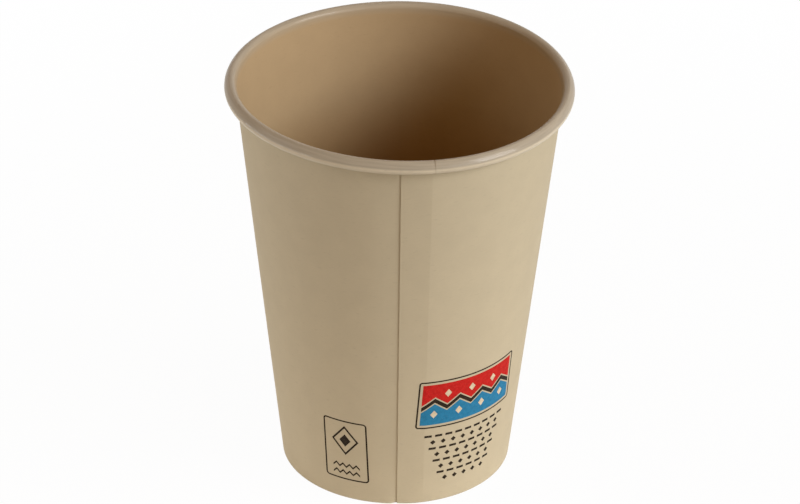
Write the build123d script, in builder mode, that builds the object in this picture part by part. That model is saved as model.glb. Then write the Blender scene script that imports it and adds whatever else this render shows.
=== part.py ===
# A single-wall paper cup. One sheet of board is rolled into a tapered wall with a lapped side seam,
# its top edge is curled outward into a rim, and its bottom edge is turned in and up as a hem.
# A second piece, the base, is a dish whose skirt is held between the wall and the hem.
from build123d import *
from math import asin, atan2, cos, degrees, hypot, radians, sin
import os

os.makedirs("parts", exist_ok=True)

# Driving dimensions of the cup, in millimetres
rim_diameter = 90.0
foot_diameter = 60.0
cup_height = 110.0
board_thickness = 0.35

# Side seam: the overlap is measured at half height, and the ramp brings the upper end down off the lower
lap_width = 7.4
lap_ramp_width = 4.0
lap_foot_clearance = 0.20

# Base and foot
base_thickness = 0.30
base_recess = 7.5
base_bend_radius = 0.30
hem_clearance = 0.50
fold_radius = 0.06
glue_gap = 0.03

# Rim curl: the roll is an upper and a lower bend with a short straight drop between them on its outside,
# and its tail keeps clear of the lapped wall
curl_width = 3.1
curl_drop = 0.5
curl_gap = 0.06

# Angles, in degrees, and the number of straight steps in the ramp
seam_heading = -90.0
tail_turn = 150.0
full_turn = 360.0
half_turn = full_turn / 2
quarter_turn = half_turn / 2
ramp_steps = 3

# Worked-out sizes of the wall
foot_radius = foot_diameter / 2
curl_radius = curl_width / 2
curl_centre = (rim_diameter / 2 - curl_radius, cup_height - curl_radius)
underside_centre = (curl_centre[0], curl_centre[1] - curl_drop)
tail_radius = curl_radius - 2 * board_thickness - curl_gap
tail_centre = (curl_centre[0], underside_centre[1] - curl_radius + tail_radius)

# The wall's outer face leaves the foot's corner and runs tangent to the roll, one board in from its outside
curl_offset = curl_centre[0] - foot_radius
lean = atan2(curl_offset, curl_centre[1]) - asin(
    (curl_radius - board_thickness) / hypot(curl_offset, curl_centre[1])
)
lean_degrees = degrees(lean)

# The seam's edges, as headings about the axis
half_height_radius = (foot_radius + curl_centre[0] - curl_radius) / 2
lap_end_heading = seam_heading + degrees(lap_width / half_height_radius)
ramp_angle = degrees(lap_ramp_width / half_height_radius)

# Heights and widths that the base and the foot's fold set
pocket_width = base_thickness + 2 * glue_gap
hem_top = base_recess - base_bend_radius - hem_clearance
base_top = base_recess + base_thickness
fold_height = fold_radius + board_thickness
lap_foot_height = fold_height + lap_foot_clearance


def wall_radius(height, depth):
    """Radius, at a height, of the line that lies a depth in from the wall's outer face."""
    return foot_radius + (height * sin(lean) - depth) / cos(lean)


def section_plane(heading):
    """Upright plane through the axis, with the radius along its X and the height along its Y."""
    outward = (cos(radians(heading)), sin(radians(heading)), 0)
    across = (sin(radians(heading)), -cos(radians(heading)), 0)
    return Plane(origin=(0, 0, 0), x_dir=outward, z_dir=across)


def wall_point(distance, height):
    """Point of the wall at a distance from the sheet's inside face and at a height."""
    return wall_radius(height, board_thickness - distance), height


def folded_hem(distance):
    """Hem and foot fold at a distance from the sheet's inside face, with its two ends."""
    inner_centre = (wall_radius(fold_height, board_thickness + pocket_width - fold_radius), fold_height)
    outer_centre = (wall_radius(fold_height, fold_height), fold_height)
    bend = fold_radius + distance
    inner_fold = CenterArc(inner_centre, bend, half_turn - lean_degrees, quarter_turn + lean_degrees)
    outer_fold = CenterArc(outer_centre, bend, -quarter_turn, quarter_turn - lean_degrees)
    hem_edge = (wall_radius(hem_top, board_thickness + pocket_width + distance), hem_top)
    Line(hem_edge, inner_fold @ 0)
    Line(inner_fold @ 1, outer_fold @ 0)
    return hem_edge, outer_fold @ 1


def rim_roll(distance):
    """Roll of the rim at a distance from the sheet's inside face, from the wall round to its underside."""
    over_turn = half_turn - lean_degrees
    over = CenterArc(curl_centre, curl_radius - distance, over_turn, -over_turn)
    under = CenterArc(underside_centre, curl_radius - distance, 0, -quarter_turn)
    Line(over @ 1, under @ 0)
    return over @ 0, under @ 1


def whole_sheet(distance):
    """The single sheet, from the hem's edge to the end of the tail inside the roll."""
    hem_edge, fold_end = folded_hem(distance)
    roll_start, _ = rim_roll(distance)
    tail = CenterArc(tail_centre, tail_radius - distance, -quarter_turn, -tail_turn)
    Line(fold_end, roll_start)
    return hem_edge, tail @ 1


def foot_only(distance):
    """The single sheet, from the hem's edge to the top of the base."""
    hem_edge, fold_end = folded_hem(distance)
    wall_end = wall_point(distance, base_top)
    Line(fold_end, wall_end)
    return hem_edge, wall_end


def lapped_wall(distance):
    """The lapping end of the sheet, from just above the foot to the underside of the roll."""
    start = wall_point(distance, lap_foot_height)
    roll_start, roll_end = rim_roll(distance)
    Line(start, roll_start)
    return start, roll_end


def sheet_section(trace, near, far):
    """Section of the sheet between two distances from its inside face, along a traced line."""
    with BuildLine() as outline:
        near_ends = trace(near)
        far_ends = trace(far)
        Line(near_ends[0], far_ends[0])
        Line(near_ends[1], far_ends[1])
    make_face(outline.edges())


# Side wall
with BuildPart() as side_wall:
    # The single sheet, from the far side of the ramp round to the end under the lap
    with BuildSketch(section_plane(lap_end_heading + ramp_angle)):
        sheet_section(whole_sheet, 0, board_thickness)
    revolve(axis=Axis.Z, revolution_arc=full_turn - ramp_angle)

    # The foot carried on under the ramp
    with BuildSketch(section_plane(lap_end_heading)):
        sheet_section(foot_only, 0, board_thickness)
    revolve(axis=Axis.Z, revolution_arc=ramp_angle)

    # The upper end of the sheet, lying on the lower end
    with BuildSketch(section_plane(seam_heading)):
        sheet_section(lapped_wall, board_thickness, 2 * board_thickness)
    revolve(axis=Axis.Z, revolution_arc=lap_end_heading - seam_heading)

    # The upper end coming down past the lower end's cut edge
    for step in range(ramp_steps + 1):
        ramp_share = step / ramp_steps
        lift = board_thickness * (1 - ramp_share)
        with BuildSketch(section_plane(lap_end_heading + ramp_angle * ramp_share)):
            sheet_section(lapped_wall, lift, lift + board_thickness)
    loft(ruled=True)

side_wall.part.label = "side_wall"
export_step(side_wall.part, "parts/side_wall.step")

# Base
with BuildPart() as base_disc:
    bend_height = base_recess - base_bend_radius
    outer_bend_radius = base_bend_radius + base_thickness
    skirt_depth = board_thickness + glue_gap
    skirt_foot = board_thickness + glue_gap
    bend_centre = (wall_radius(bend_height, skirt_depth + outer_bend_radius), bend_height)
    with BuildSketch(Plane.XZ):
        with BuildLine():
            outer_bend = CenterArc(bend_centre, outer_bend_radius, quarter_turn, -quarter_turn - lean_degrees)
            inner_bend = CenterArc(bend_centre, base_bend_radius, quarter_turn, -quarter_turn - lean_degrees)
            skirt_outer = (wall_radius(skirt_foot, skirt_depth), skirt_foot)
            skirt_inner = (wall_radius(skirt_foot, skirt_depth + base_thickness), skirt_foot)
            Polyline(inner_bend @ 0, (0, base_recess), (0, base_top), outer_bend @ 0)
            Polyline(outer_bend @ 1, skirt_outer, skirt_inner, inner_bend @ 1)
        make_face()
    revolve(axis=Axis.Z)

base_disc.part.label = "base_disc"
export_step(base_disc.part, "parts/base_disc.step")
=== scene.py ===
from collections import namedtuple
from math import asin, atan2, cos, hypot, pi, radians, sin, tan
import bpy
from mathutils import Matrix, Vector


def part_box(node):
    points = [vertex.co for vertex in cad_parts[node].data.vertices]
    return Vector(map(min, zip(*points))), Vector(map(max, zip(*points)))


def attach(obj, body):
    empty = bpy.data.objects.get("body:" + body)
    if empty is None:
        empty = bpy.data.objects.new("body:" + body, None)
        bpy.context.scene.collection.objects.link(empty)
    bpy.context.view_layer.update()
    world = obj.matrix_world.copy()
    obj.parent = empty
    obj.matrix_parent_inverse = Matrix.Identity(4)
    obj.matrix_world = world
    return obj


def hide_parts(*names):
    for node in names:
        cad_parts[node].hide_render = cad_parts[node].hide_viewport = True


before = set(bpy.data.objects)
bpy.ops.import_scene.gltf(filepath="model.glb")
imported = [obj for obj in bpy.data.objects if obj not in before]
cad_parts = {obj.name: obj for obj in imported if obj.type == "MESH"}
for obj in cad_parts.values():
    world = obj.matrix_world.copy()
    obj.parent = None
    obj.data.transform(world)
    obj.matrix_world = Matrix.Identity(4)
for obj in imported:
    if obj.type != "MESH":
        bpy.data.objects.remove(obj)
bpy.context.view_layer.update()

from types import SimpleNamespace

import bpy
import numpy as np
from bpy.props import FloatProperty, FloatVectorProperty, PointerProperty
from bpy.types import Operator, Panel, PropertyGroup
from mathutils import Matrix, Vector

bl_info = {
    "name": "Paper Cup",
    "version": (1, 0, 0),
    "blender": (4, 5, 0),
    "location": "View3D > Sidebar > Cup",
    "description": "Builds a single-wall paper cup with a rolled rim, a lapped side seam and a printed wall",
    "category": "Add Mesh",
}

# Lengths are metres, as in the frame. Flat places on the sheet are x along the turn and y up the slant.
MM = 0.001
FULL_TURN = 2 * pi
QUARTER_TURN = pi / 2
BODY = "root"
WALL_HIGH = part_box("side_wall")[1]
BASE_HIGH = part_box("base_disc")[1]

# Stations of the sheet's columns, as shares of the overlap, the ramp, the way round and the lower end
LAP_STATIONS = np.append(np.linspace(0.0, 0.9, 10), 0.98)[:, None]
RAMP_STATIONS = np.linspace(0.0, 1.0, 13)[:-1, None] ** 1.5
ROUND_STATIONS = np.linspace(0.0, 1.0, 220)[:-1, None]
UNDER_STATIONS = np.linspace(0.0, 1.0, 10)[:, None]

# Steps along the stretches of the sheet's profile
HEM_STEPS = 6
FOLD_STEPS = 5
WALL_STEPS = 44
OVER_STEPS = 36
UNDER_STEPS = 10

# Middle and half width of the flat on the rim's roll, and where the rim's top is along the roll's upper bend
FLAT_MIDDLE = radians(37)
FLAT_HALF = radians(43)
TOP_SHARE = 0.25

# Waves in the rolled board: the share of each, its count round the cup, its lean with the height, its start
RIPPLE_WAVES = ((1.0, 3, 1.3, 0.4), (0.6, 5, -2.1, 1.7), (0.35, 9, 4.0, 0.0))

# Counts on the base, and the height of its skirt's pleats as a share of the glue's room
BASE_COLUMNS = 180
BASE_RINGS = 24
BASE_BEND_STEPS = 8
SKIRT_STEPS = 6
PLEATS = 60
PLEAT_SHARE = 0.4

# Edges that turn by more than this are kept sharp, and the name of the map of places on the flat board
SHARP_ANGLE = radians(45)
FLAT_MAP = "flat_board"

# Longest step along a printed film, steps of its corners, and how far it sinks in, as a share of its height
FILM_STEP = 0.3 * MM
CORNER_STEPS = 6
INK_SINK_SHARE = 0.4

# Counts and shares of the printed designs, and sizes on them as counts of a thin line's width
PANEL_PEAKS = 4
PANEL_CORNER_LINES = 2.0
STITCH_ROWS = 8
LONGEST_ROW = 9
DIAMOND_SHARE = 1.25
MARK_PEAKS = 4
MARK_PLACE_SHARE = 0.68
MARK_BEAD_SHARE = 0.42
MARK_ZIGZAG_SHARES = (0.125, 0.24)
MARK_DIAMOND_LINES = 1.5
MARK_PEAK_LINES = 2.5
MARK_ZIGZAG_LINES = 1.4

Shape = namedtuple("Shape", "grid closed")
Grain = namedtuple("Grain", "turn along across detail")
Finish = namedtuple("Finish", "roughness contrast bump")

# Grains of the board and of the ink: turn, scales along and across for each millimetre, and detail
CLOUDS = Grain(0.0, 0.16, 0.16, 3.0)
LONG_FIBRES = Grain(radians(8), 0.9, 4.6, 2.0)
CROSS_FIBRES = Grain(radians(-62), 0.8, 4.0, 2.0)
FLECKS = Grain(radians(35), 0.45, 1.71, 1.0)
RIM_STREAKS = Grain(0.0, 0.11, 1.6, 2.0)
INK_PATCHES = Grain(0.0, 0.9, 0.9, 3.0)
INK_PORES = Grain(0.0, 5.5, 5.5, 1.0)

# Parts of a grain's range that are stretched over a whole range
MIDDLE_PART = (0.3, 0.7)
FIBRE_PART = (0.35, 0.65)
FLECK_PART = (0.70, 0.80)
PORE_PART = (0.66, 0.78)
WHOLE = (0.0, 1.0)

# Finishes of the board, and how its grains change them. A change is in contrasts, and a tint is a factor.
COATED = Finish(0.48, 0.025, 0.006 * MM)
UNCOATED = Finish(0.75, 0.03, 0.02 * MM)
CUT = Finish(0.85, 0.10, 0.04 * MM)
LIP_CONTRAST = 0.05
ROUGHNESS_SWING = 0.06
BUMP_STRENGTH = 0.6
CLOUD_HEIGHT_SHARE = 0.4
CLOUD_CHANGE = 0.6
FIBRE_CHANGE = 2.0
FIBRE_TINT = 0.55
FLECK_CHANGE = 5.0
FLECK_SHARE = 0.4

# Lengths below the rim between which painted shade turns the coating browner, and its look on the wall and on
# the roll
DEEP_SHADE_START = 24 * MM
DEEP_SHADE_END = 65 * MM
STREAK_TINTS = (0.93, 1.07)
COAT_WEIGHTS = (0.05, 0.35)
COAT_ROUGHNESS = 0.16
COATED_SPECULAR = 0.1

# Look of the ink, from where it covers least to where it covers most
INK_TINTS = (0.90, 1.08)
INK_ROUGHNESS = (0.78, 0.64)
INK_SPECULAR = 0.15
INK_BUMP = 0.01 * MM
INK_BUMP_STRENGTH = 0.5
PINHOLE_SHARE = 0.15

# Places of the lamps, as turn from the seam, elevation and distance, and sizes of the lamps and the low strip
KEY_PLACE = (radians(64), radians(29), 3.0)
FRONT_PLACE = (radians(43), radians(17), 3.0)
FILL_PLACE = (radians(-87), radians(25), 3.0)
LEFT_PLACE = (radians(-82), 0.0, 0.5)
LAMP_SIZE = (1.4, 1.4)
STRIP_SIZE = (0.5, 0.08)
WHITE = (1.0, 1.0, 1.0, 1.0)
FLOOR_REACH = 6.0
SENSOR_WIDTH = 36.0
CLIP_END = 20.0


# Properties


def length(name, description, default):
    """A length that a user may change."""
    return FloatProperty(name=name, description=description, default=default, unit="LENGTH", precision=5)


def angle(name, description, degrees):
    """An angle that a user may change, given in degrees."""
    return FloatProperty(name=name, description=description, default=radians(degrees), subtype="ANGLE")


def share(name, description, default):
    """A plain number that a user may change."""
    return FloatProperty(name=name, description=description, default=default)


def colour(name, description, red, green, blue):
    """A colour that a user may change, in linear light."""
    return FloatVectorProperty(
        name=name, description=description, default=(red, green, blue, 1.0), size=4, min=0.0, max=1.0,
        subtype="COLOR",
    )


class CUP_PG_sizes(PropertyGroup):
    """Sizes of the two pieces of board and of their folds."""

    rim_diameter: length("Rim", "Across the outside of the rolled rim", 2 * WALL_HIGH.x)
    height: length("Height", "From the table to the top of the rim", WALL_HIGH.z)
    foot_diameter: length("Foot", "Across the wall where its line meets the table", 60 * MM)
    board: length("Board", "Thickness of the wall's board", 0.35 * MM)
    lap_top: length("Lap at the rim", "Width of the side seam's overlap at the top", 7.9 * MM)
    lap_foot: length("Lap at the foot", "Width of the side seam's overlap at the bottom", 6.65 * MM)
    lap_ramp: length("Lap ramp", "Width over which the upper end comes down off the lower", 9.0 * MM)
    lap_groove: length("Lap groove", "Width of the groove that the ramp leaves in the rolled rim", 0.35 * MM)
    lap_gap: length("Lap gap", "Glue between the two ends of the sheet", 0.02 * MM)
    lap_tuck: length("Lap tuck", "Width over which the lower end's foot goes in before the seam", 2.0 * MM)
    lap_press: share("Lap press", "Share of a board's thickness that the sealed seam is pressed in by", 0.82)
    top_press: share("Top press", "The same share on the top of the rolled rim", 0.3)
    roll_press: share("Roll press", "The same share on the outside of the rolled rim", 0.85)
    edge_press: share("Edge press", "Share of its thickness that the upper end loses at its cut edge", 0.35)
    lap_flatness: share("Lap flatness", "How flat the stiff overlap is, from 0 for round to 1 for flat", 0.6)
    curl_width: length("Rim roll", "Width of the rolled rim's section", 3.1 * MM)
    curl_drop: length("Rim drop", "Straight drop on the outside of the roll", 0.5 * MM)
    curl_flatness: share("Rim flatness", "How flat the roll's slope is, from 0 for round to 1 for flat", 0.7)
    curl_gap: length("Tail gap", "Room between the roll's tail and the lapped wall", 0.10 * MM)
    tail_turn: angle("Tail turn", "How far the sheet's edge turns inside the roll", 150)
    hem_height: length("Hem", "Height of the turned-in hem's edge", 6.7 * MM)
    fold_radius: length("Fold", "Inside radius of the foot's two bends", 0.06 * MM)
    pocket: length("Pocket", "Room between wall and hem for the base's skirt", 0.36 * MM)
    base_top: length("Base", "Height of the base's upper face", BASE_HIGH.z)
    base_board: length("Base board", "Thickness of the base's board", 0.30 * MM)
    base_bend: length("Base bend", "Inside radius of the base's bend", 0.30 * MM)
    base_crown: length("Base crown", "How far the middle of the base stands below its edge", 0.35 * MM)
    glue_gap: length("Glue", "Room on each side of the base's skirt", 0.03 * MM)
    skirt_foot: length("Skirt foot", "Height of the lower edge of the base's skirt", 0.80 * MM)
    rim_rise: length("Rim rise", "How far the rim rises on the left and drops on the right", 0.4 * MM)
    warp: length("Warp", "Scale of the rim's stray from the round", 1.2 * MM)
    ripple: length("Ripple", "How far the rolled board strays from a true cone", 0.03 * MM)


class CUP_PG_print(PropertyGroup):
    """Places and sizes of the printed designs, on the flat sheet."""

    ink: length("Ink", "Height of the ink film over the board", 0.02 * MM)
    line: length("Line", "Width of a thin printed line", 0.42 * MM)
    panel_turn: angle("Panel place", "Turn of the panel's middle from the seam", 34.5)
    panel_slant: length("Panel height", "Slant height of the panel's middle", 32.1 * MM)
    panel_width: length("Panel width", "Width of the panel's frame", 30.6 * MM)
    panel_depth: length("Panel depth", "Depth of the panel's frame", 15.2 * MM)
    panel_margin: length("Panel margin", "Bare board between the panel's frame and its bands", 1.1 * MM)
    panel_peak: length("Peak", "Rise of the panel's zigzag", 2.6 * MM)
    panel_bead: length("Panel bead", "Width of a small diamond on the panel's fields", 2.0 * MM)
    narrow_band: length("Zigzag", "Depth of the panel's dark zigzag", 1.3 * MM)
    band_gap: length("Gap", "Bare board between the zigzag and the coloured fields", 0.45 * MM)
    rows_slant: length("Rows height", "Slant height of the middle of the stitched rows", 14.6 * MM)
    row_pitch: length("Row pitch", "From one stitched row to the next", 2.05 * MM)
    stitch_pitch: length("Stitch pitch", "From one stitch to the next", 2.9 * MM)
    stitch: length("Stitch", "Length of a stitch", 2.0 * MM)
    stitch_line: length("Stitch line", "Width of a stitch", 0.7 * MM)
    bead: length("Bead", "Width of a small diamond in the rows", 1.5 * MM)
    mark_turn: angle("Mark place", "Turn of the small mark's middle from the seam", -25.2)
    mark_slant: length("Mark height", "Slant height of the small mark's middle", 15.9 * MM)
    mark_width: length("Mark width", "Width of the small mark's frame", 12.4 * MM)
    mark_depth: length("Mark depth", "Depth of the small mark's frame", 19.4 * MM)
    mark_corner: length("Mark corner", "Radius of the small mark's corners", 1.0 * MM)
    mark_diamond: length("Mark diamond", "Width of the small mark's large diamond", 7.6 * MM)


class CUP_PG_colours(PropertyGroup):
    """Colours of the board and of the inks."""

    board: colour("Board", "Uncoated outside of the board", 0.572, 0.511, 0.367)
    coating: colour("Coating", "Coated inside of the board, by the rim", 0.475, 0.356, 0.212)
    # Browner and darker than the coating: painted shade of the cup's deep inside
    deep_coating: colour("Deep coating", "Coated inside of the board, deep in the cup", 0.38, 0.21, 0.07)
    # Greyer than the coating: the roll's coating with a painted sheen over it
    rim: colour("Rolled rim", "Coating where the rim's roll stretches it", 0.425, 0.38, 0.30)
    # Paler than the board: the roll's lower side in a board-like tone, with painted light as if lit from
    # below
    lip: colour("Rim's lip", "Coating on the lower side of the roll, where it is pressed", 0.70, 0.635, 0.49)
    # Darker than the board: the cut fibres' own tone, with painted shade that darkens the seam's line
    edge: colour("Cut edge", "Fibres at a cut edge of the board", 0.36, 0.265, 0.15)
    red: colour("Red ink", "Upper field of the panel", 0.56, 0.014, 0.012)
    blue: colour("Blue ink", "Lower field of the panel", 0.022, 0.215, 0.42)
    dark: colour("Dark ink", "Frames, zigzag, rows and mark", 0.020, 0.012, 0.006)
    cream: colour("Cream ink", "Small diamonds on the panel's fields", 0.74, 0.64, 0.47)
    floor: colour("Floor", "Pale floor by the cup", 0.90, 0.90, 0.90)
    far_floor: colour("Far floor", "Floor away from the cup, which gives back less light", 0.25, 0.25, 0.25)
    sky: colour("Sky", "Dim even light from all round", 1.0, 0.54, 0.15)


class CUP_PG_stage(PropertyGroup):
    """Camera and light."""

    distance: length("Camera distance", "From the camera to the middle of the cup", 1.385)
    elevation: angle("Camera elevation", "How far the camera looks down", 30.1)
    heading: angle("Camera heading", "Turn of the camera from the seam", -0.85)
    roll: angle("Camera roll", "How far the camera leans over", -0.62)
    lens: share("Lens", "Focal length in millimetres on a 36 mm wide sensor", 238.3)
    shift_x: share("Shift across", "Sideways shift of the frame, as a share of its width", 0.0029)
    shift_y: share("Shift up", "Upward shift of the frame, as a share of its width", 0.0161)
    key_power: share("Key light", "Watts of the large lamp on the right", 58.5)
    front_power: share("Front light", "Watts of the lamp between the key light and the camera", 18.7)
    fill_power: share("Fill light", "Watts of the lamp on the left", 9.0)
    left_power: share("Left strip", "Watts of the low strip on the left", 0.75)
    sky: share("Sky", "Strength of the even light from all round", 0.27)
    white_share: share("White", "Share of the floor by the cup that is seen as plain white", 0.97)
    floor_near: length("Floor near", "Distance from the cup's axis at which the floor is palest", 0.05)
    floor_far: length("Floor far", "Distance past which the floor is seen as plain white", 0.30)


# Form of the sheet


def smooth_step(values):
    """0 below 0, 1 above 1 and 3v^2 - 2v^3 between."""
    held = np.clip(values, 0.0, 1.0)
    return held * held * (3.0 - 2.0 * held)


def bend(centre, radius, start, end, steps, side):
    """Arc of a profile, centre + radius (cos a, sin a), with side (cos a, sin a) as the outside's
    direction."""
    turn = np.linspace(start, end, steps + 1)
    ray = np.stack([np.cos(turn), np.sin(turn)], axis=1)
    return np.asarray(centre) + radius * ray, side * ray


def straight(first, last, outside, steps):
    """Straight stretch of a profile, first + share (last - first), with one outside direction."""
    along = np.linspace(0.0, 1.0, steps + 1)[:, None]
    points = np.asarray(first) + along * (np.asarray(last) - np.asarray(first))
    return points, np.tile(outside, (steps + 1, 1))


def joined(stretches):
    """Stretches of a profile end to end, each without the point that the next one starts with."""
    points = [stretch[0][:-1] for stretch in stretches[:-1]] + [stretches[-1][0]]
    outside = [stretch[1][:-1] for stretch in stretches[:-1]] + [stretches[-1][1]]
    return np.concatenate(points), np.concatenate(outside)


def cup_form(sizes):
    """Sizes that follow from the cup's properties. The wall's outer face leaves the foot's corner and runs
    tangent to the rim's roll, one board in from its outside, and that gives the wall's lean."""
    form = SimpleNamespace(sizes=sizes, board=sizes.board)
    curl_radius = sizes.curl_width / 2
    curl_centre = (sizes.rim_diameter / 2 - curl_radius, sizes.height - curl_radius)
    offset = curl_centre[0] - sizes.foot_diameter / 2
    reach = hypot(offset, curl_centre[1])
    form.lean = atan2(offset, curl_centre[1]) - asin((curl_radius - sizes.board) / reach)
    form.outside = np.array([cos(form.lean), -sin(form.lean)])
    form.slope = np.array([tan(form.lean), 1.0])
    form.foot_radius = sizes.foot_diameter / 2
    form.apex = form.foot_radius / sin(form.lean)
    form.curl_radius = curl_radius
    form.curl_centre = curl_centre
    form.underside_centre = (curl_centre[0], curl_centre[1] - sizes.curl_drop)
    form.tail_radius = curl_radius - 2 * sizes.board - sizes.curl_gap
    form.tail_centre = (curl_centre[0], form.underside_centre[1] - curl_radius + form.tail_radius)
    form.over_length = (pi - form.lean) * curl_radius
    form.fold_height = sizes.fold_radius + sizes.board
    form.pattern_radius = (form.foot_radius + curl_centre[0]) / 2
    return form


def wall_radius(form, height, depth):
    """Radius, at a height, of the line that lies a depth in from the wall's outer face."""
    return form.foot_radius + (height * sin(form.lean) - depth) / cos(form.lean)


def sheet_profile(form):
    """Profile of the sheet's inside face, from the hem's edge down to the foot's two bends, up the wall,
    over the rim's roll and round to the tail inside it, with the direction of the sheet's outside at each
    point."""
    sizes = form.sizes
    lean = form.lean
    pocket_depth = sizes.board + sizes.pocket
    inner_centre = (wall_radius(form, form.fold_height, pocket_depth - sizes.fold_radius), form.fold_height)
    outer_centre = (wall_radius(form, form.fold_height, form.fold_height), form.fold_height)
    hem_edge = (wall_radius(form, sizes.hem_height, pocket_depth), sizes.hem_height)
    inner_fold = bend(inner_centre, sizes.fold_radius, pi - lean, 3 * QUARTER_TURN, FOLD_STEPS, 1)
    outer_fold = bend(outer_centre, sizes.fold_radius, -QUARTER_TURN, -lean, FOLD_STEPS, 1)
    over = bend(form.curl_centre, form.curl_radius, pi - lean, 0, OVER_STEPS, -1)
    under = bend(form.underside_centre, form.curl_radius, 0, -QUARTER_TURN, UNDER_STEPS, -1)
    tail_end = -QUARTER_TURN - sizes.tail_turn
    tail = bend(form.tail_centre, form.tail_radius, -QUARTER_TURN, tail_end, UNDER_STEPS, -1)
    hem = straight(hem_edge, inner_fold[0][0], -form.outside, HEM_STEPS)
    land = straight(inner_fold[0][-1], outer_fold[0][0], (0.0, -1.0), 1)
    wall = straight(outer_fold[0][-1], over[0][0], form.outside, WALL_STEPS)
    drop = straight(over[0][-1], under[0][0], (-1.0, 0.0), 1)
    return joined([hem, inner_fold, land, outer_fold, wall, over, drop, under, tail])


def sheet_run(form):
    """Length along the sheet's profile at each of its points, and where the rim's roll starts on it."""
    points, _ = sheet_profile(form)
    run = np.concatenate([[0.0], np.cumsum(np.hypot(*np.diff(points, axis=0).T))])
    return run, run[np.argmax(points[:, 1] >= form.curl_centre[1])]


def rolled_share(form):
    """0 on the wall, easing to 1 as the sheet comes to the rim's roll, at each point of its profile."""
    run, rim_run = sheet_run(form)
    return smooth_step((run - rim_run) / form.sizes.curl_width + 1.0)


def lap_angles(form, height, rolled):
    """Turns, at a height, that the side seam's overlap takes and that its ramp takes. The overlap's width
    runs evenly from the foot to the rim, the ramp closes to a groove in the roll, and a turn is a width
    over the wall's radius."""
    sizes = form.sizes
    held = np.clip(height, 0.0, form.curl_centre[1])
    radius = wall_radius(form, held, sizes.board)
    lap = sizes.lap_foot + (sizes.lap_top - sizes.lap_foot) * held / form.curl_centre[1]
    ramp = sizes.lap_ramp + (sizes.lap_groove - sizes.lap_ramp) * rolled
    return lap / radius, ramp / radius


def upper_share(form, turn, height, rolled):
    """1 where the sheet's upper end lies on the lower one, with a crease where the lower one ends. Past it
    the share is (1 - s)^2, with s from 0 to 1 over the ramp."""
    lap, ramp = lap_angles(form, height, rolled)
    return np.clip(1.0 - (turn - lap) / ramp, 0.0, 1.0) ** 2


def lower_share(form, turn, height):
    """0 round the wall, easing to 1 over the ramp's width, where the sheet's lower end goes under the
    upper one."""
    _, ramp = lap_angles(form, height, 0.0)
    return smooth_step((turn - FULL_TURN + ramp) / ramp)


def edge_thinning(form, turn, height):
    """Share of its thickness that the sheet's upper end loses. It is (1 - s)^2 of the share at the cut
    edge, with s from 0 to 1 over the overlap."""
    lap, _ = lap_angles(form, height, 0.0)
    return form.sizes.edge_press * np.clip(1.0 - turn / lap, 0.0, 1.0) ** 2


def lap_stand(form, turn, height, rolled):
    """How far the stiff overlap stands off the round wall. It is flatness r a^2 / 2 at an angle a from the
    overlap's middle, held at the overlap's two ends, and falls away there as (1 - s)^2 over the ramp's
    width."""
    sizes = form.sizes
    lap, ramp = lap_angles(form, height, 0.0)
    from_middle = np.abs(np.mod(turn - lap / 2 + pi, FULL_TURN) - pi)
    within = np.minimum(from_middle, lap / 2)
    fall = np.clip(1.0 - (from_middle - lap / 2) / ramp, 0.0, 1.0) ** 2
    on_wall = smooth_step(height / sizes.hem_height) * (1.0 - rolled)
    return sizes.lap_flatness * wall_radius(form, height, 0.0) * within ** 2 / 2 * fall * on_wall


def ripple(form, turn, height):
    """Small waves in the rolled board: sines of the turn that lean with the height and die away at both
    ends of it, by a sine of it."""
    up = height / form.sizes.height
    waves = sum(
        part * np.sin(count * turn + leaning * up + start) for part, count, leaning, start in RIPPLE_WAVES
    )
    return form.sizes.ripple * waves * np.sin(pi * np.clip(up, 0.0, 1.0))


def turned(radius, height, turn):
    """Points at a radius and a height, turned about the axis from the seam's edge, which faces -Y."""
    return np.stack([radius * np.sin(turn), -radius * np.cos(turn), height], axis=-1)


def wall_columns(form, height, rolled):
    """Turns of the sheet's columns at each height, from the upper end's cut edge, over the overlap and the
    ramp, once round, and on under the overlap to the lower end's cut edge."""
    lap, ramp = lap_angles(form, height, rolled)
    return np.concatenate([
        lap * LAP_STATIONS,
        lap + ramp * RAMP_STATIONS,
        lap + ramp + (FULL_TURN - lap - ramp) * ROUND_STATIONS,
        FULL_TURN + lap * UNDER_STATIONS,
    ])


def seam_press(form):
    """Share of a board's thickness that the seam is pressed in by, at each point of the profile: the
    sealed seam's share on the wall, less on the top of the rim, and most on the outside of its roll."""
    sizes = form.sizes
    run, rim_run = sheet_run(form)
    places = (rim_run - sizes.curl_width, rim_run + form.over_length * TOP_SHARE, rim_run + form.over_length)
    return np.interp(run, places, (sizes.lap_press, sizes.top_press, sizes.roll_press))


def roll_flat(form, turn):
    """How far the roll's outer slope is pressed in: R f (1 - cos(h) / cos(a)) (2 + cos(turn)) / 3, at an
    angle a from the middle of the flat, where R is the roll's radius, f the flatness and h half of the
    flat's angle. So the roll is flattest at the seam and rounder at the back."""
    points, _ = sheet_profile(form)
    ray = points - form.curl_centre
    from_middle = np.abs(np.arctan2(ray[:, 1], ray[:, 0]) - FLAT_MIDDLE)
    pressed = 1.0 - cos(FLAT_HALF) / np.cos(np.minimum(from_middle, FLAT_HALF))
    on_bend = np.where(ray[:, 1] >= 0.0, form.curl_radius * form.sizes.curl_flatness * pressed, 0.0)
    return on_bend * (2.0 + np.cos(turn)) / 3.0


def warp(form, turn, height):
    """How far the wall strays from the round: the warp times sin(turn) cos(turn)^2, growing with the
    square of the height. The most that it strays is 0.385 of the warp."""
    return form.sizes.warp * np.sin(turn) * np.cos(turn) ** 2 * (height / form.sizes.height) ** 2


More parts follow.
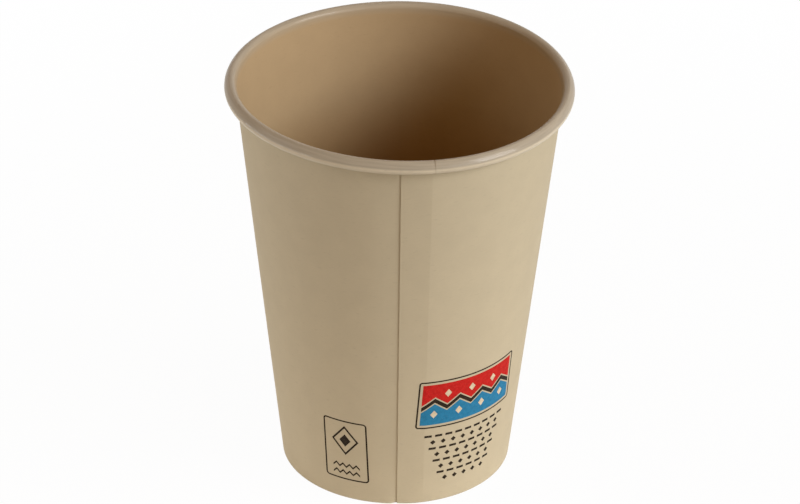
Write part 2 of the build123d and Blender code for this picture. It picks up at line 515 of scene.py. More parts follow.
def sheet_surface(form, distance):
    """Grid of one face of the sheet. A point is the profile's point, moved up the wall's line where the
    foot is folded over itself, plus (distance + lift + stand + ripple + flat) along the outside's
    direction, turned about the axis. The distance is thinned in the sealed seam, and the lift is one
    pressed board over the overlap, which eases to nothing over the ramp. The points also stray from the
    round, and over the cup's upper half they rise on the left by the sine of the turn, because the rim
    isn't quite round or level."""
    sizes = form.sizes
    points, outside = sheet_profile(form)
    height = points[:, 1]
    rolled = rolled_share(form)
    turn = wall_columns(form, height, rolled)
    upper = upper_share(form, turn, height, rolled)
    foot_share = np.sqrt(np.clip(1.0 - height / sizes.hem_height, 0.0, 1.0))
    foot_share = np.where(height < form.fold_height, 1.0, foot_share)
    eased = lower_share(form, turn, height)
    tucked = smooth_step((turn - FULL_TURN) * form.foot_radius / sizes.lap_tuck + 1.0)
    lower = eased + (tucked - eased) * foot_share
    press = seam_press(form)
    layer = sizes.board * (1.0 - press) + sizes.lap_gap
    rise = layer * np.maximum(upper, lower) * foot_share
    lift = layer * upper
    stand = lap_stand(form, turn, height, rolled)
    thinned = press * lower + edge_thinning(form, turn, height)
    off = distance * (1.0 - thinned) + lift + stand + ripple(form, turn, height) + roll_flat(form, turn)
    radius = points[:, 0] + rise * form.slope[0] + off * outside[:, 0] + warp(form, turn, height)
    up = points[:, 1] + rise * form.slope[1] + off * outside[:, 1]
    rim_share = np.clip(2.0 * height / sizes.height - 1.0, 0.0, 1.0) ** 2
    up = up - sizes.rim_rise * rim_share * np.sin(turn)
    return turned(radius, up, turn)


def on_sheet(form, flat, turn, slant, height_over):
    """Points of a flat design on the outside of the wall. The flat sheet is part of a ring about the
    cone's apex, so a place is a distance from the apex and an angle there, and the turn is that angle over
    sin(lean)."""
    from_apex = form.apex + slant
    distance = np.hypot(flat[..., 0], from_apex + flat[..., 1])
    at = turn + np.arctan2(flat[..., 0], from_apex + flat[..., 1]) / sin(form.lean)
    height = (distance - form.apex) * cos(form.lean)
    lapped = form.board * (1.0 - form.sizes.lap_press) + form.sizes.lap_gap
    lift = np.where(at < 0.0, 0.0, lapped * upper_share(form, at, height, 0.0))
    stand = lap_stand(form, at, height, 0.0)
    at_round = np.mod(at, FULL_TURN)
    pressed = form.sizes.lap_press * lower_share(form, at_round, height)
    thinned = pressed + edge_thinning(form, at_round, height)
    off = form.board * (1.0 - thinned) + height_over + lift + stand + ripple(form, at_round, height)
    radius = wall_radius(form, height, form.board) + off * form.outside[0] + warp(form, at, height)
    return turned(radius, height + off * form.outside[1], at)


# Form of the base


def base_profile(form):
    """Profile of the base in three stretches: its upper face from the middle out over the bend and down
    the skirt, the skirt's cut edge, and its under face back to the middle. The middle stands below the
    edge by the crown, and the dip is crown (1 + cos(pi r / R)) / 2 at a radius r of the flat's R."""
    sizes = form.sizes
    depth = sizes.board + sizes.glue_gap
    outer_bend = sizes.base_bend + sizes.base_board
    bend_height = sizes.base_top - outer_bend
    centre = (wall_radius(form, bend_height, depth + outer_bend), bend_height)
    radius = np.linspace(0.0, centre[0], BASE_RINGS + 1)[:-1]
    dip = sizes.base_crown * (1.0 + np.cos(pi * radius / centre[0])) / 2
    over, _ = bend(centre, outer_bend, QUARTER_TURN, -form.lean, BASE_BEND_STEPS, 1)
    back, _ = bend(centre, sizes.base_bend, -form.lean, QUARTER_TURN, BASE_BEND_STEPS, 1)
    foot = sizes.skirt_foot
    skirt_outside = (wall_radius(form, foot, depth), foot)
    skirt_inside = (wall_radius(form, foot, depth + sizes.base_board), foot)
    outer_skirt, _ = straight(over[-1], skirt_outside, form.outside, SKIRT_STEPS)
    inner_skirt, _ = straight(skirt_inside, back[0], form.outside, SKIRT_STEPS)
    upper = np.stack([radius, sizes.base_top - dip], axis=1)
    lower = upper[::-1] - (0.0, sizes.base_board)
    top = np.concatenate([upper, over, outer_skirt[1:]])
    return top, inner_skirt[:1], np.concatenate([inner_skirt[1:], back[1:], lower])


def base_crimp(form, ring, turn):
    """Small pleats in the skirt: a sine of the turn that grows from nothing at the bend down the skirt."""
    sizes = form.sizes
    down = np.clip((sizes.base_top - sizes.base_board - ring[:, 1]) / sizes.base_top, 0.0, 1.0)
    return PLEAT_SHARE * sizes.glue_gap * down * np.sin(PLEATS * turn)


# Meshes


def quads(indices):
    """Four-sided faces of a grid of vertex numbers, facing (down the rows) x (along a row)."""
    corners = [indices[:-1, :-1], indices[1:, :-1], indices[1:, 1:], indices[:-1, 1:]]
    return np.stack(corners, axis=-1).reshape(-1, 4)


def slab_faces(inner, outer, closed):
    """Faces of a thin slab between two grids of vertex numbers: its inside, its outside and its edges. A
    closed slab's last row meets its first."""
    if closed:
        inner = np.vstack([inner, inner[:1]])
        outer = np.vstack([outer, outer[:1]])
    edges = [
        quads(np.stack([outer[:, 0], inner[:, 0]])),
        quads(np.stack([inner[:, -1], outer[:, -1]])),
    ]
    if not closed:
        edges.append(quads(np.stack([inner[0], outer[0]])))
        edges.append(quads(np.stack([outer[-1], inner[-1]])))
    return quads(inner[:, ::-1]), quads(outer), np.concatenate(edges)


def add_object(name, data):
    """A new object in the scene."""
    added = bpy.data.objects.new(name, data)
    bpy.context.scene.collection.objects.link(added)
    return added


def build_piece(name, points, places, faces, materials):
    """A new piece from arrays: points, their places on the flat board as a UV map, and for each material a
    list of face arrays. It rides on the cup's one body."""
    mesh = bpy.data.meshes.new(name)
    loops = [array.ravel() for arrays in faces for array in arrays]
    counts = [np.full(len(array), array.shape[1]) for arrays in faces for array in arrays]
    slots = [np.full(len(array), slot) for slot, arrays in enumerate(faces) for array in arrays]
    corner = np.concatenate(loops).astype(np.int32)
    count = np.concatenate(counts)
    mesh.vertices.add(len(points))
    mesh.vertices.foreach_set("co", np.ascontiguousarray(points, np.float32).ravel())
    mesh.loops.add(len(corner))
    mesh.loops.foreach_set("vertex_index", corner)
    mesh.polygons.add(len(count))
    mesh.polygons.foreach_set("loop_start", (np.cumsum(count) - count).astype(np.int32))
    mesh.polygons.foreach_set("material_index", np.concatenate(slots).astype(np.int32))
    mesh.update(calc_edges=True)
    layer = mesh.uv_layers.new(name=FLAT_MAP)
    layer.uv.foreach_set("vector", np.ascontiguousarray(places[corner], np.float32).ravel())
    for material in materials:
        mesh.materials.append(material)
    if mesh.validate():
        raise RuntimeError(f"{name} has faces that can't be used")
    mesh.shade_smooth()
    mesh.set_sharp_from_angle(angle=SHARP_ANGLE)
    piece = add_object(name, mesh)
    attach(piece, BODY)
    return piece


def printed_film(name, form, shapes, place, layer, ink, material):
    """Ink on the wall as one thin closed film for each flat shape, about a place given as a turn and a
    slant height. A layer of 1 lies on the board and a layer of 2 on ink, each sunk a little into what is
    under it."""
    points, places, inside, outside, edges = [], [], [], [], []
    first = 0
    for shape in shapes:
        indices = first + np.arange(shape.grid[..., 0].size).reshape(shape.grid.shape[:2])
        lower = indices
        upper = indices + indices.size
        points.append(on_sheet(form, shape.grid, *place, (layer - 1 - INK_SINK_SHARE) * ink).reshape(-1, 3))
        points.append(on_sheet(form, shape.grid, *place, layer * ink).reshape(-1, 3))
        places += [shape.grid.reshape(-1, 2)] * 2
        for group, faces in zip((inside, outside, edges), slab_faces(lower, upper, shape.closed)):
            group.append(faces)
        first += 2 * indices.size
    faces = [inside + outside + edges]
    return build_piece(name, np.concatenate(points), np.concatenate(places), faces, [material])


# Flat shapes of the print


def field(corners):
    """Four-cornered field, bilinear between its corners, given round from one of them."""
    first, second, third, fourth = np.asarray(corners, float)
    columns = steps_along(second - first)
    rows = steps_along(fourth - first)
    along = np.linspace(0.0, 1.0, columns + 1)[:, None, None]
    up = np.linspace(0.0, 1.0, rows + 1)[None, :, None]
    low = first + along * (second - first)
    high = fourth + along * (third - fourth)
    return Shape(low + up * (high - low), False)


def steps_along(way):
    """Number of steps that a film takes along a straight way."""
    return max(2, int(hypot(*way) / FILM_STEP))


def block(centre, width, depth):
    """Upright rectangular field about a centre."""
    corners = np.array([(-1, -1), (1, -1), (1, 1), (-1, 1)]) * (width / 2, depth / 2)
    return field(np.asarray(centre) + corners)


def diamond(centre, width, depth):
    """Field with its corners to the left, below, to the right and above its centre."""
    corners = np.array([(-1, 0), (0, -1), (1, 0), (0, 1)]) * (width / 2, depth / 2)
    return field(np.asarray(centre) + corners)


def diamond_line(centre, width, depth, line):
    """Diamond drawn with one line: the band between two like diamonds, from corner to corner in even
    steps."""
    corners = np.array([(1, 0), (0, 1), (-1, 0), (0, -1), (1, 0)], float)
    steps = steps_along((width / 2, depth / 2))
    along = np.arange(4 * steps) / steps
    unit = np.stack([np.interp(along, np.arange(5), corners[:, axis]) for axis in range(2)], axis=1)
    outer = unit * (width / 2, depth / 2)
    inner = unit * (width / 2 - line, depth / 2 - line * depth / width)
    return Shape(np.asarray(centre) + np.stack([outer, inner], axis=1), True)


def zigzag_line(width, peaks, rise):
    """Line that goes up by its rise and down again at each peak, from left to right about the middle."""
    slope = width / peaks / 2
    steps = 2 * peaks * steps_along((slope, rise))
    along = np.linspace(0.0, 2.0 * peaks, steps + 1)
    return np.stack([slope * (along - peaks), rise * (0.5 - np.abs(np.mod(along, 2.0) - 1.0))], axis=1)


def zigzag(centre, width, peaks, rise, depth):
    """Zigzag band, as deep all along."""
    line = np.asarray(centre) + zigzag_line(width, peaks, rise)
    sides = np.array([(0.0, -depth / 2), (0.0, depth / 2)])
    return Shape(line[:, None, :] + sides[None, :, :], False)


def zigzag_field(width, peaks, rise, start, end):
    """Field from a zigzag line, moved up by start, to a level line at end."""
    line = zigzag_line(width, peaks, rise)
    near = line + (0.0, start)
    far = np.stack([line[:, 0], np.full(len(line), end)], axis=1)
    ends = [near, far] if end > start else [far, near]
    return Shape(np.stack(ends, axis=1), False)


def rounded_outline(width, depth, radius):
    """Closed path of a rectangle with round corners, anticlockwise: an arc at each corner and even steps
    along the side that follows it."""
    centres = np.array([(1, 1), (-1, 1), (-1, -1), (1, -1)]) * (width / 2 - radius, depth / 2 - radius)
    stretches = []
    for corner in range(4):
        turn = QUARTER_TURN * (corner + np.linspace(0.0, 1.0, CORNER_STEPS + 1))
        arc = centres[corner] + radius * np.stack([np.cos(turn), np.sin(turn)], axis=1)
        ray = np.array([cos(turn[-1]), sin(turn[-1])])
        goal = centres[(corner + 1) % 4] + radius * ray
        steps = steps_along(goal - arc[-1])
        along = np.linspace(0.0, 1.0, steps + 1)[1:-1, None]
        stretches += [arc, arc[-1] + along * (goal - arc[-1])]
    return np.concatenate(stretches)


def frame_line(width, depth, radius, line):
    """Thin rectangular frame with round corners about the middle, between two outlines a line's width
    apart."""
    outer = rounded_outline(width, depth, radius)
    middle = rounded_outline(width - line, depth - line, radius - line / 2)
    inner = outer - (outer - middle) * 2
    return Shape(np.stack([outer, inner], axis=1), True)


# Printed designs


def panel_films(design):
    """Films of the panel, as (name, ink, layer, shapes): a thin frame, a dark zigzag along its middle, a
    red field above it and a blue one below, with bare board between them, and small diamonds on the two
    fields."""
    width = design.panel_width - 2 * design.panel_margin
    edge = design.panel_depth / 2 - design.panel_margin
    near = design.narrow_band / 2 + design.band_gap
    peak = design.panel_peak
    corner = PANEL_CORNER_LINES * design.line
    spacing = width / PANEL_PEAKS
    bead_height = (edge + near - peak / 2) / 2
    bead = (design.panel_bead, design.panel_bead * DIAMOND_SHARE)
    over_low = [((index - PANEL_PEAKS / 2) * spacing, bead_height) for index in range(1, PANEL_PEAKS)]
    under_peaks = [((index + 0.5 - PANEL_PEAKS / 2) * spacing, -bead_height) for index in range(PANEL_PEAKS)]
    return [
        ("panel_dark", "dark", 1, [
            frame_line(design.panel_width, design.panel_depth, corner, design.line),
            zigzag((0.0, 0.0), width, PANEL_PEAKS, peak, design.narrow_band),
        ]),
        ("panel_red", "red", 1, [zigzag_field(width, PANEL_PEAKS, peak, near, edge)]),
        ("panel_blue", "blue", 1, [zigzag_field(width, PANEL_PEAKS, peak, -near, -edge)]),
        ("panel_cream", "cream", 2, [diamond(place, *bead) for place in over_low + under_peaks]),
    ]


def stitch_shapes(design):
    """Rows of stitches and rows of small diamonds by turns. A row of diamonds has one fewer than the
    stitches above it and as many as the stitches below it."""
    shapes = []
    for row in range(STITCH_ROWS):
        y = ((STITCH_ROWS - 1) / 2 - row) * design.row_pitch
        count = LONGEST_ROW - row // 2 - row % 2
        places = [((index - (count - 1) / 2) * design.stitch_pitch, y) for index in range(count)]
        if row % 2:
            shapes += [diamond(place, design.bead, design.bead) for place in places]
        else:
            shapes += [block(place, design.stitch, design.stitch_line) for place in places]
    return shapes


def mark_shapes(design):
    """A round-cornered frame with a small diamond inside a large one, over two zigzags."""
    width = design.mark_diamond
    depth = width * DIAMOND_SHARE
    peak = MARK_PEAK_LINES * design.line
    band = MARK_ZIGZAG_LINES * design.line
    low = -design.mark_depth / 2
    centre = (0.0, -low - depth * MARK_PLACE_SHARE)
    zigzag_places = [(0.0, low + share * design.mark_depth) for share in MARK_ZIGZAG_SHARES]
    return [
        frame_line(design.mark_width, design.mark_depth, design.mark_corner, design.line),
        diamond_line(centre, width, depth, MARK_DIAMOND_LINES * design.line),
        diamond(centre, width * MARK_BEAD_SHARE, depth * MARK_BEAD_SHARE),
        *[zigzag(place, width, MARK_PEAKS, peak, band) for place in zigzag_places],
    ]


# Materials


def set_inputs(tree, node, inputs):
    """A node's inputs, each linked to a socket or set to a value."""
    for name, value in inputs.items():
        if isinstance(value, bpy.types.NodeSocket):
            tree.links.new(value, node.inputs[name])
        else:
            node.inputs[name].default_value = value


def add_node(tree, kind, inputs, **settings):
    """A new node with its settings and its inputs."""
    node = tree.nodes.new(kind)
    for name, value in settings.items():
        setattr(node, name, value)
    set_inputs(tree, node, inputs)
    return node


def maths(tree, operation, first, second):
    """A maths node's operation on two values."""
    return add_node(tree, "ShaderNodeMath", {0: first, 1: second}, operation=operation).outputs["Value"]


def ramped(tree, value, part, to_low=0.0, to_high=1.0):
    """A value taken from a part of its range to another range, and held at its ends."""
    inputs = {"Value": value, "From Min": part[0], "From Max": part[1], "To Min": to_low, "To Max": to_high}
    return add_node(tree, "ShaderNodeMapRange", inputs).outputs["Result"]


def noise(tree, place, grain):
    """Noise from 0 to 1 on a place in millimetres, which a grain scales along and across and turns."""
    inputs = {"Vector": place, "Rotation": (0.0, 0.0, grain.turn), "Scale": (grain.along, grain.across, 1.0)}
    grained = add_node(tree, "ShaderNodeMapping", inputs).outputs["Vector"]
    inputs = {"Vector": grained, "Scale": 1.0, "Detail": grain.detail}
    return add_node(tree, "ShaderNodeTexNoise", inputs, noise_dimensions="2D").outputs["Fac"]


def mixed(tree, factor, first, second):
    """Two colours mixed by a factor."""
    node = add_node(tree, "ShaderNodeMix", {0: factor, 6: first, 7: second}, data_type="RGBA")
    return node.outputs[2]


def bumped(tree, height, distance, strength):
    """A normal that a height bends, over a distance and by a strength."""
    inputs = {"Height": height, "Distance": distance, "Strength": strength}
    return add_node(tree, "ShaderNodeBump", inputs).outputs["Normal"]


def tinted(colour_value, factor):
    """A colour made lighter or darker by a factor."""
    return tuple(min(1.0, channel * factor) for channel in colour_value[:3]) + (1.0,)


def flat_place(tree):
    """The piece's own place on the flat board, in metres."""
    return add_node(tree, "ShaderNodeUVMap", {}, uv_map=FLAT_MAP).outputs["UV"]


def in_millimetres(tree, place):
    """A place in metres, given in millimetres."""
    inputs = {0: place, "Scale": 1 / MM}
    return add_node(tree, "ShaderNodeVectorMath", inputs, operation="SCALE").outputs["Vector"]


def board_fibres(tree, place):
    """Paper board: soft clouds some 6 mm across, fibres crossing at two angles, a few dark flecks, and the
    height that fibres and clouds give."""
    cloud = noise(tree, place, CLOUDS)
    crossing = maths(tree, "ADD", noise(tree, place, LONG_FIBRES), noise(tree, place, CROSS_FIBRES))
    fibre = maths(tree, "MULTIPLY", crossing, 0.5)
    fleck = ramped(tree, noise(tree, place, FLECKS), FLECK_PART)
    height = maths(tree, "ADD", fibre, maths(tree, "MULTIPLY", cloud, CLOUD_HEIGHT_SHARE))
    return {"Cloud": cloud, "Fibre": fibre, "Fleck": fleck, "Height": height}


def ink_cover(tree, place):
    """Ink on board: uneven cover in soft patches, and pinholes where fibres stand through it."""
    cover = noise(tree, place, INK_PATCHES)
    return {"Cover": cover, "Pinhole": ramped(tree, noise(tree, place, INK_PORES), PORE_PART)}


def pattern_group(pattern):
    """The node group that all materials share for a pattern, with a Place input in metres on the flat
    board and the pattern's values as its outputs."""
    name = pattern.__name__
    if name in bpy.data.node_groups:
        return bpy.data.node_groups[name]
    group = bpy.data.node_groups.new(name, "ShaderNodeTree")
    group.interface.new_socket(name="Place", in_out="INPUT", socket_type="NodeSocketVector")
    source = group.nodes.new("NodeGroupInput")
    values = pattern(group, in_millimetres(group, source.outputs["Place"]))
    for output in values:
        group.interface.new_socket(name=output, in_out="OUTPUT", socket_type="NodeSocketFloat")
    add_node(group, "NodeGroupOutput", values)
    return group


def patterned(tree, pattern):
    """A pattern's values in a material, at the piece's own place on the flat board."""
    group = pattern_group(pattern)
    return add_node(tree, "ShaderNodeGroup", {"Place": flat_place(tree)}, node_tree=group).outputs


def empty_tree(owner):
    """The node tree of a new material or world, with nothing in it."""
    owner.use_nodes = True
    owner.node_tree.nodes.clear()
    return owner.node_tree


def new_material(name):
    """The tree of a new material and its Principled shader."""
    tree = empty_tree(bpy.data.materials.new(name))
    shader = tree.nodes.new("ShaderNodeBsdfPrincipled")
    add_node(tree, "ShaderNodeOutputMaterial", {"Surface": shader.outputs["BSDF"]})
    return tree, shader


def board_colour(tree, fibres, colour_value, contrast):
    """A board's colour, clouded, fibred and flecked by a contrast."""
    changes = (CLOUD_CHANGE, -CLOUD_CHANGE, -FLECK_CHANGE)
    pale, dull, fleck = (tinted(colour_value, 1.0 + change * contrast) for change in changes)
    clouded = mixed(tree, ramped(tree, fibres["Cloud"], MIDDLE_PART), dull, pale)
    fibre_share = ramped(tree, fibres["Fibre"], FIBRE_PART, FIBRE_CHANGE * contrast, 0.0)
    fibred = mixed(tree, fibre_share, clouded, tinted(colour_value, FIBRE_TINT))
    return mixed(tree, maths(tree, "MULTIPLY", fibres["Fleck"], FLECK_SHARE), fibred, fleck)


def board_material(name, colour_value, finish):
    """Board seen from one side, with its colour, its roughness and its bumps from its fibres. Returns the
    tree, the shader, the fibres and the socket of the colour."""
    tree, shader = new_material(name)
    fibres = patterned(tree, board_fibres)
    surface = board_colour(tree, fibres, colour_value, finish.contrast)
    roughness = (finish.roughness - ROUGHNESS_SWING, finish.roughness + ROUGHNESS_SWING)
    set_inputs(tree, shader, {
        "Base Color": surface,
        "Roughness": ramped(tree, fibres["Fibre"], MIDDLE_PART, *roughness),
        "Normal": bumped(tree, fibres["Height"], finish.bump, BUMP_STRENGTH),
    })
    return tree, shader, fibres, surface


def coated_material(form, colours):
    """Coated board. By the length along the sheet, the coating turns browner and darker down into the cup, as
    painted shade; over the rim's roll it turns greyer, as a painted sheen, and glossier, with fine streaks;
    and on the roll's lip it is paler, its own tone with painted light from below."""
    tree, shader, fibres, inside = board_material("coated_board", tuple(colours.coating), COATED)
    flat = flat_place(tree)
    run = add_node(tree, "ShaderNodeSeparateXYZ", {0: flat}).outputs["Y"]
    _, rim_run = sheet_run(form)
    lip_start = rim_run + form.over_length
    # Painted shade: 0 by the rim, easing to 1 deep in the cup, where the coating is painted browner and
    # darker
    depth = ramped(tree, run, (rim_run - DEEP_SHADE_END, rim_run - DEEP_SHADE_START), 1.0, 0.0)
    rolled = ramped(tree, run, (rim_run - form.curl_radius, rim_run + form.curl_radius))
    # Mask of the roll's lip, where the coating is painted paler as if lit from below
    pressed = ramped(tree, run, (lip_start, lip_start + form.sizes.curl_drop))
    streaks = ramped(tree, noise(tree, in_millimetres(tree, flat), RIM_STREAKS), MIDDLE_PART)
    # Coating colour with painted shade, for deep in the cup
    deep_shade_colour = board_colour(tree, fibres, tuple(colours.deep_coating), COATED.contrast)
    # Painted sheen: the roll's coating greyed, with fine streaks along it
    rim = mixed(tree, streaks, *[tinted(tuple(colours.rim), tint) for tint in STREAK_TINTS])
    # Lip colour: a board-like tone with painted light from below
    lip = board_colour(tree, fibres, tuple(colours.lip), LIP_CONTRAST)
    surface = mixed(tree, rolled, mixed(tree, depth, inside, deep_shade_colour), rim)
    set_inputs(tree, shader, {
        "Base Color": mixed(tree, pressed, surface, lip),
        "Coat Weight": ramped(tree, rolled, WHOLE, *COAT_WEIGHTS),
        "Coat Roughness": COAT_ROUGHNESS,
        "Specular IOR Level": COATED_SPECULAR,
    })


def board_faces(form, colours):
    """Materials of the board's coated inside, its uncoated outside and its cut edges."""
    if "coated_board" not in bpy.data.materials:
        coated_material(form, colours)
        board_material("uncoated_board", tuple(colours.board), UNCOATED)
        # Cut edges: fibre tone darkened by painted shade
        board_material("cut_edge", tuple(colours.edge), CUT)
    return [bpy.data.materials[name] for name in ("coated_board", "uncoated_board", "cut_edge")]


def ink_material(name, colour_value, board_value):
    """Ink: its colour varied by its cover, with the board showing in its pinholes."""
    if name not in bpy.data.materials:
        tree, shader = new_material(name)
        ink = patterned(tree, ink_cover)
        cover = ramped(tree, ink["Cover"], MIDDLE_PART)
        varied = mixed(tree, cover, *[tinted(colour_value, tint) for tint in INK_TINTS])
        holes = maths(tree, "MULTIPLY", ink["Pinhole"], PINHOLE_SHARE)
        set_inputs(tree, shader, {
            "Base Color": mixed(tree, holes, varied, board_value),
            "Roughness": ramped(tree, ink["Cover"], MIDDLE_PART, *INK_ROUGHNESS),
            "Specular IOR Level": INK_SPECULAR,
            "Normal": bumped(tree, ink["Cover"], INK_BUMP, INK_BUMP_STRENGTH),
        })
    return bpy.data.materials[name]


def print_films(context, films, place):
    """Prints films, each given as (name, ink, layer, shapes), about one place on the wall."""
    form = cup_form(context.scene.cup_sizes)
    colours = context.scene.cup_colours
    for name, ink, layer, shapes in films:
        material = ink_material(f"{ink}_ink", tuple(getattr(colours, ink)), tuple(colours.board))
        printed_film(name, form, shapes, place, layer, context.scene.cup_print.ink, material)


# Stage


def shown_rays(tree):
    """1 for rays that show the background: from the camera, off gloss or through glass."""
    path = tree.nodes.new("ShaderNodeLightPath").outputs
    seen = maths(tree, "MAXIMUM", path["Is Camera Ray"], path["Is Glossy Ray"])
    return maths(tree, "MAXIMUM", seen, path["Is Transmission Ray"])


def floor_material(colours, stage):
    """Floor that the camera sees mostly as plain white, and wholly so away from the cup, so that the cup's
    shadow stays and no edge shows. The light that it gives back fades in the same way."""
    material = bpy.data.materials.new("pale_floor")
    tree = empty_tree(material)
    place = tree.nodes.new("ShaderNodeTexCoord").outputs["Object"]
    from_axis = add_node(tree, "ShaderNodeVectorMath", {0: place}, operation="LENGTH").outputs["Value"]
    away = ramped(tree, from_axis, (stage.floor_near, stage.floor_far))
    whiteness = ramped(tree, away, WHOLE, stage.white_share, 1.0)
    shade = mixed(tree, away, tuple(colours.floor), tuple(colours.far_floor))
    pale = add_node(tree, "ShaderNodeBsdfDiffuse", {"Color": shade}).outputs["BSDF"]
    white = add_node(tree, "ShaderNodeEmission", {"Color": WHITE, "Strength": 1.0}).outputs["Emission"]
    factor = maths(tree, "MULTIPLY", shown_rays(tree), whiteness)
    surface = add_node(tree, "ShaderNodeMixShader", {0: factor, 1: pale, 2: white}).outputs["Shader"]
    add_node(tree, "ShaderNodeOutputMaterial", {"Surface": surface})
    return material


def white_world(sky, strength):
    """World that lights the cup with a dim sky and is seen as plain white."""
    world = bpy.data.worlds.new("studio")
    tree = empty_tree(world)
    light = mixed(tree, shown_rays(tree), tinted(sky, strength), WHITE)
    background = add_node(tree, "ShaderNodeBackground", {"Color": light, "Strength": 1.0})
    add_node(tree, "ShaderNodeOutputWorld", {"Surface": background.outputs["Background"]})
    return world


def add_floor(colours, stage):
    """Flat floor about the origin, at the height of the cup's foot."""
    reach = FLOOR_REACH
    corners = [(-reach, -reach, 0.0), (reach, -reach, 0.0), (reach, reach, 0.0), (-reach, reach, 0.0)]
    mesh = bpy.data.meshes.new("floor")
    mesh.from_pydata(corners, [], [(0, 1, 2, 3)])
    mesh.materials.append(floor_material(colours, stage))
    return add_object("floor", mesh)


def around(turn, elevation, distance, target):
    """Place at a turn from the seam, an elevation and a distance from a target."""
    level = distance * cos(elevation)
    return Vector(target) + Vector((level * sin(turn), -level * cos(turn), distance * sin(elevation)))


def add_lamp(name, place, size, power, target):
    """Soft lamp, as wide and high as its size, that faces a target from a place given as turn, elevation
    and distance."""
    lamp = bpy.data.lights.new(name, "AREA")
    lamp.shape = "RECTANGLE"
    lamp.size, lamp.size_y = size
    lamp.energy = power
    stand = add_object(name, lamp)
    stand.location = around(*place, target)
    stand.rotation_euler = (Vector(target) - stand.location).to_track_quat("-Z", "Y").to_euler()


def add_camera(stage, target):
    """Camera that looks at a target, leaning over by the roll."""
    data = bpy.data.cameras.new("camera")
    data.lens = stage.lens
    data.sensor_width = SENSOR_WIDTH
    data.shift_x = stage.shift_x
    data.shift_y = stage.shift_y
    data.clip_end = CLIP_END
    back = (around(stage.heading, stage.elevation, 1.0, target) - Vector(target)).normalized()
    level = Vector((cos(stage.heading), sin(stage.heading), 0.0))
    upright = back.cross(level)
    right = level * cos(stage.roll) - upright * sin(stage.roll)
    up = level * sin(stage.roll) + upright * cos(stage.roll)
    turn = Matrix((right, up, back)).transposed().to_4x4()
    camera = add_object("camera", data)
    camera.matrix_world = Matrix.Translation(Vector(target) + back * stage.distance) @ turn
    return camera


# Operators


class CUP_OT_roll_wall(Operator):
    """Roll the sheet into the wall, with its lapped seam, its rolled rim and its turned-in hem"""

    bl_idname = "cup.roll_wall"
    bl_label = "Roll the Wall"

    def execute(self, context):
        form = cup_form(context.scene.cup_sizes)
        inner = sheet_surface(form, 0.0)
        outer = sheet_surface(form, form.board)
        indices = np.arange(inner[..., 0].size).reshape(inner.shape[:2])
        coated, outside, edges = slab_faces(indices, indices + indices.size, False)
        run, _ = sheet_run(form)
        turn = wall_columns(form, sheet_profile(form)[0][:, 1], rolled_share(form))
        places = np.stack([turn * form.pattern_radius, np.broadcast_to(run, turn.shape)], axis=-1)
        places = places.reshape(-1, 2)
        wall = build_piece(
            "cup_wall", np.concatenate([inner.reshape(-1, 3), outer.reshape(-1, 3)]),
            np.concatenate([places, places]), [[coated], [outside], [edges]],
            board_faces(form, context.scene.cup_colours),
        )
        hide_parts("side_wall")
        return {"FINISHED"}


class CUP_OT_press_base(Operator):
    """Press the base into a dish whose skirt goes down between the wall and the hem"""

    bl_idname = "cup.press_base"
    bl_label = "Press the Base"

    def execute(self, context):
        form = cup_form(context.scene.cup_sizes)
        top, skirt, under = base_profile(form)
        profile = np.concatenate([top, skirt, under])
        turn = np.linspace(0.0, FULL_TURN, BASE_COLUMNS + 1)[:-1, None]
        ring = profile[1:-1]
        crimp = base_crimp(form, ring, turn)
        points = turned(ring[:, 0] + crimp, np.broadcast_to(ring[:, 1], crimp.shape), turn)
        poles = np.stack([(0.0, 0.0, profile[0, 1]), (0.0, 0.0, profile[-1, 1])])
        rows = np.arange(points[..., 0].size).reshape(points.shape[:2])
        rows = np.vstack([rows, rows[:1]])
        high_pole = np.full(len(turn), points[..., 0].size)
        low_pole = high_pole + 1
        high_fan = np.stack([high_pole, rows[:-1, 0], rows[1:, 0]], axis=-1)
        low_fan = np.stack([low_pole, rows[1:, -1], rows[:-1, -1]], axis=-1)
        top_end = len(top) - 1
        skirt_end = top_end + len(skirt)
        coated = quads(rows[:, top_end::-1])
        edges = quads(rows[:, skirt_end:top_end - 1:-1])
        bare = quads(rows[:, :skirt_end - 1:-1])
        everything = np.concatenate([points.reshape(-1, 3), poles])
        base = build_piece(
            "cup_base", everything, everything[:, :2], [[high_fan, coated], [low_fan, bare], [edges]],
            board_faces(form, context.scene.cup_colours),
        )
        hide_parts("base_disc")
        return {"FINISHED"}


class CUP_OT_print_panel(Operator):
    """Print the panel of two fields and a zigzag in its thin frame"""

    bl_idname = "cup.print_panel"
    bl_label = "Print the Panel"

    def execute(self, context):
        design = context.scene.cup_print
        print_films(context, panel_films(design), (design.panel_turn, design.panel_slant))
        return {"FINISHED"}


class CUP_OT_print_rows(Operator):
    """Print the rows of short stitches and small diamonds below the panel"""

    bl_idname = "cup.print_rows"
    bl_label = "Print the Rows"

    def execute(self, context):
        design = context.scene.cup_print
        films = [("stitch_rows", "dark", 1, stitch_shapes(design))]
        print_films(context, films, (design.panel_turn, design.rows_slant))
        return {"FINISHED"}


class CUP_OT_print_mark(Operator):
    """Print the small framed mark on the other side of the seam"""

    bl_idname = "cup.print_mark"
    bl_label = "Print the Mark"

    def execute(self, context):
        design = context.scene.cup_print
        films = [("small_mark", "dark", 1, mark_shapes(design))]
        print_films(context, films, (design.mark_turn, design.mark_slant))
        return {"FINISHED"}


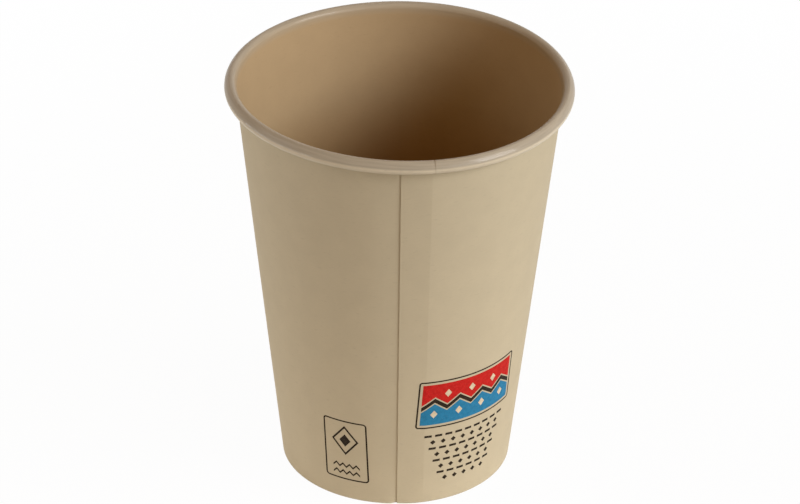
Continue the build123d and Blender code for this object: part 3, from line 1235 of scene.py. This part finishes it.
class CUP_OT_set_stage(Operator):
    """Set out the floor, the light and the camera"""

    bl_idname = "cup.set_stage"
    bl_label = "Set the Stage"

    def execute(self, context):
        scene = context.scene
        stage = scene.cup_stage
        middle = (0.0, 0.0, scene.cup_sizes.height / 2)
        low = (0.0, 0.0, STRIP_SIZE[1] / 2)
        floor = add_floor(scene.cup_colours, stage)
        add_lamp("key", KEY_PLACE, LAMP_SIZE, stage.key_power, middle)
        add_lamp("front", FRONT_PLACE, LAMP_SIZE, stage.front_power, middle)
        add_lamp("fill", FILL_PLACE, LAMP_SIZE, stage.fill_power, middle)
        add_lamp("left", LEFT_PLACE, STRIP_SIZE, stage.left_power, low)
        scene.world = white_world(tuple(scene.cup_colours.sky), stage.sky)
        scene.camera = add_camera(stage, middle)
        scene.view_settings.view_transform = "Standard"
        return {"FINISHED"}


class CUP_PT_sidebar(Panel):
    """Sidebar panel with the cup's properties and its steps"""

    bl_idname = "CUP_PT_sidebar"
    bl_label = "Paper Cup"
    bl_space_type = "VIEW_3D"
    bl_region_type = "UI"
    bl_category = "Cup"

    def draw(self, context):
        layout = self.layout
        for operator in OPERATORS:
            layout.operator(operator.bl_idname)
        for name in GROUPS:
            box = layout.box()
            group = getattr(context.scene, name)
            for prop in group.bl_rna.properties:
                if prop.identifier not in ("name", "rna_type"):
                    box.prop(group, prop.identifier)


GROUPS = {
    "cup_sizes": CUP_PG_sizes,
    "cup_print": CUP_PG_print,
    "cup_colours": CUP_PG_colours,
    "cup_stage": CUP_PG_stage,
}
OPERATORS = (
    CUP_OT_roll_wall,
    CUP_OT_press_base,
    CUP_OT_print_panel,
    CUP_OT_print_rows,
    CUP_OT_print_mark,
    CUP_OT_set_stage,
)


def register():
    for made in (*GROUPS.values(), *OPERATORS, CUP_PT_sidebar):
        bpy.utils.register_class(made)
    for name, group in GROUPS.items():
        setattr(bpy.types.Scene, name, PointerProperty(type=group))


def unregister():
    for name in GROUPS:
        delattr(bpy.types.Scene, name)
    for made in (CUP_PT_sidebar, *reversed(OPERATORS), *reversed(GROUPS.values())):
        bpy.utils.unregister_class(made)


def main():
    """Build the cup in order."""
    register()
    bpy.ops.cup.roll_wall()
    bpy.ops.cup.press_base()
    bpy.ops.cup.print_panel()
    bpy.ops.cup.print_rows()
    bpy.ops.cup.print_mark()
    bpy.ops.cup.set_stage()


if __name__ == "__main__":
    main()
